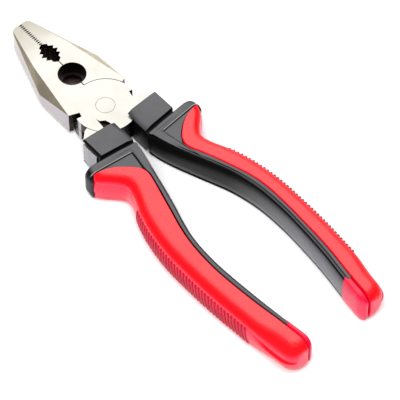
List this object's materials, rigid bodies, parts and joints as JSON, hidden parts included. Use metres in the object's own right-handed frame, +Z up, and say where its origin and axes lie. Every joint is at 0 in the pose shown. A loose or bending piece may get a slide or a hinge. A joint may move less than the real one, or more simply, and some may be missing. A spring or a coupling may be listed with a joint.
{
  "type": "combination pliers",
  "caption": "Lineman pliers with toothed tip, pipe grip, side cutter and lap joint; each curved handle has a black hard frame with hand guard and a red soft cover",
  "frame": {"origin": "centre of the overall box in X and Y, on the rest surface in Z", "axes": "+Y from the handles to the jaw tips, +Z up along the pivot axis, +X to the right handle"},
  "size_m": [0.0618, 0.2, 0.0164],
  "materials": {
    "forged_steel": "forged and ground steel, satin faces",
    "rivet_steel": "flush ground rivet",
    "red_core_plastic": "hard moulded plastic, half gloss",
    "black_plastic": "hard moulded plastic, fine grain",
    "red_soft_cover": "soft grip moulding with cross ribs"
  },
  "bodies": {
    "lower_half": {"lower_lever": "forged_steel", "pivot_rivet": "rivet_steel", "left_handle_core": "red_core_plastic", "left_inner_frame": "black_plastic", "left_grip_cover": "red_soft_cover"},
    "upper_half": {"upper_lever": "forged_steel", "right_handle_core": "red_core_plastic", "right_inner_frame": "black_plastic", "right_grip_cover": "red_soft_cover"}
  },
  "joints": [
    {"name": "jaw_pivot", "type": "hinge", "parent": "lower_half", "child": "upper_half", "pos_m": [0, 0.0436, 0.0082], "axis": [0, 0, 1], "range_deg": [0, 36]}
  ]
}
